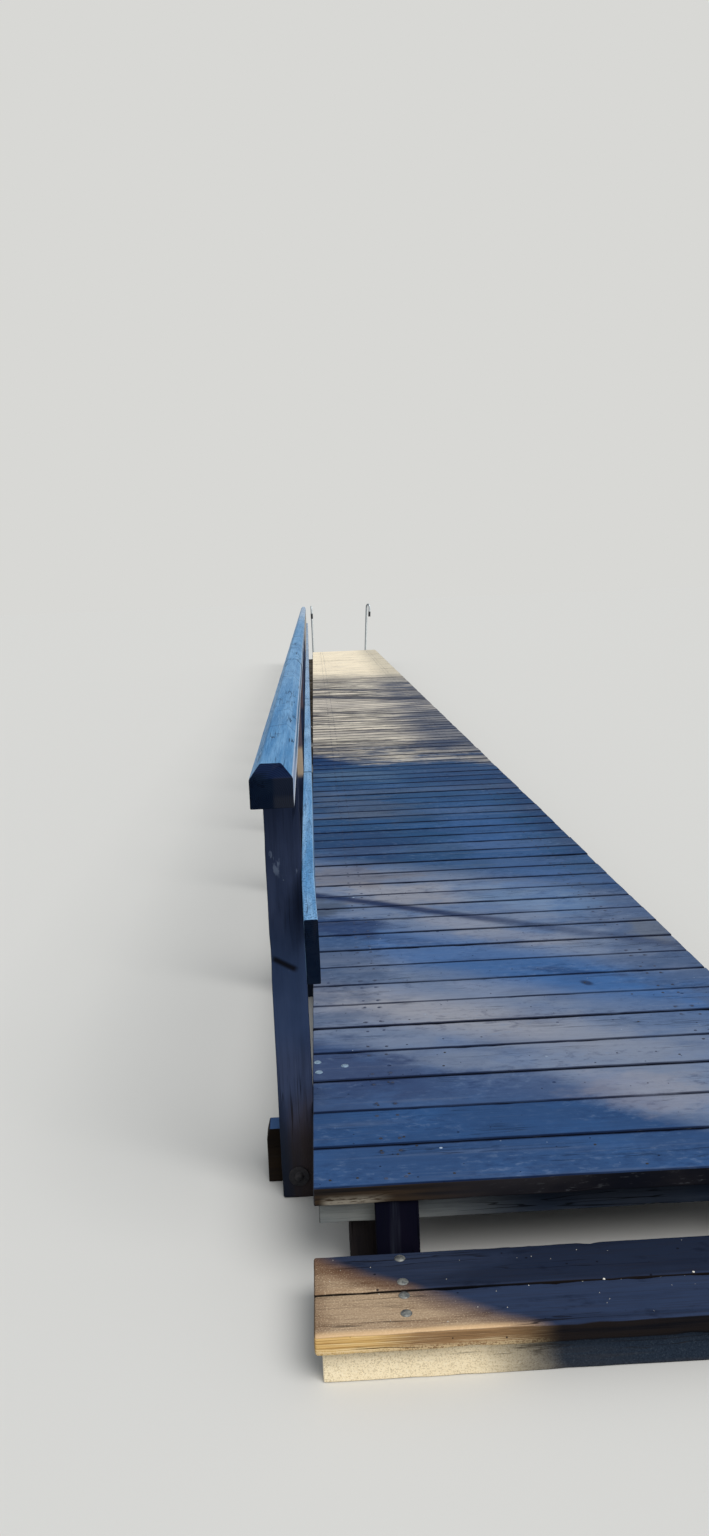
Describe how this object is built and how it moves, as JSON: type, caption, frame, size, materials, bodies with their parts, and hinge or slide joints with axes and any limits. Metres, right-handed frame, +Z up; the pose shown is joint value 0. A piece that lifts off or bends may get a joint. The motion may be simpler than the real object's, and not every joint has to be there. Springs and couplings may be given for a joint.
{
  "type": "timber jetty",
  "caption": "Long low timber jetty on trestles, with cross-laid deck boards, a shore step, a handrail on one side and a bathing ladder at the end.",
  "frame": {"origin": "middle of the foot of the riser board under the shore step, at the level of landing and lake", "axes": "+X across the jetty away from the handrail, +Y from the shore out over the lake, +Z up"},
  "size_m": [1.654, 24.023, 1.3149],
  "materials": {
    "deck_timber": "weathered softwood planks, dry and dull",
    "step_timber": "worn softwood, brown with split edges",
    "riser_timber": "rough grey-beige softwood",
    "handrail_timber": "silver-grey weathered softwood with fine checks",
    "mid_rail_timber": "grey weathered softwood with pale lichen",
    "post_timber": "dark brown treated softwood",
    "header_timber": "pale grey weathered softwood",
    "frame_timber": "dark damp treated softwood",
    "galvanised_steel": "dull hot-dip galvanised",
    "cap_rubber": "black, matt"
  },
  "bodies": {
    "root": {"cross_beams": "frame_timber", "deck_section_1": "deck_timber", "deck_section_2": "deck_timber", "deck_section_3": "deck_timber", "deck_section_4": "deck_timber", "deck_section_5": "deck_timber", "deck_section_6": "deck_timber", "deck_section_7": "deck_timber", "deck_section_8": "deck_timber", "end_fascia": "header_timber", "front_uprights": "frame_timber", "handrail_1": "handrail_timber", "handrail_2": "handrail_timber", "handrail_3": "handrail_timber", "handrail_4": "handrail_timber", "handrail_5": "handrail_timber", "handrail_6": "handrail_timber", "handrail_7": "handrail_timber", "header_board": "header_timber", "ladder_brackets": "galvanised_steel", "ladder_end_caps": "cap_rubber", "ladder_left_tube": "galvanised_steel", "ladder_right_tube": "galvanised_steel", "ladder_tread": "step_timber", "mid_rail_1": "mid_rail_timber", "mid_rail_2": "mid_rail_timber", "mid_rail_3": "mid_rail_timber", "mid_rail_4": "mid_rail_timber", "mid_rail_5": "mid_rail_timber", "mid_rail_6": "mid_rail_timber", "mid_rail_7": "mid_rail_timber", "mid_rail_8": "mid_rail_timber", "piles_left": "frame_timber", "piles_right": "frame_timber", "rail_posts_far": "post_timber", "rail_posts_middle": "post_timber", "rail_posts_near": "post_timber", "step_bearers": "riser_timber", "step_front_tread": "step_timber", "step_rear_tread": "step_timber", "step_riser": "riser_timber", "stringer_left": "frame_timber", "stringer_middle": "frame_timber", "stringer_right": "frame_timber"}
  },
  "joints": []
}
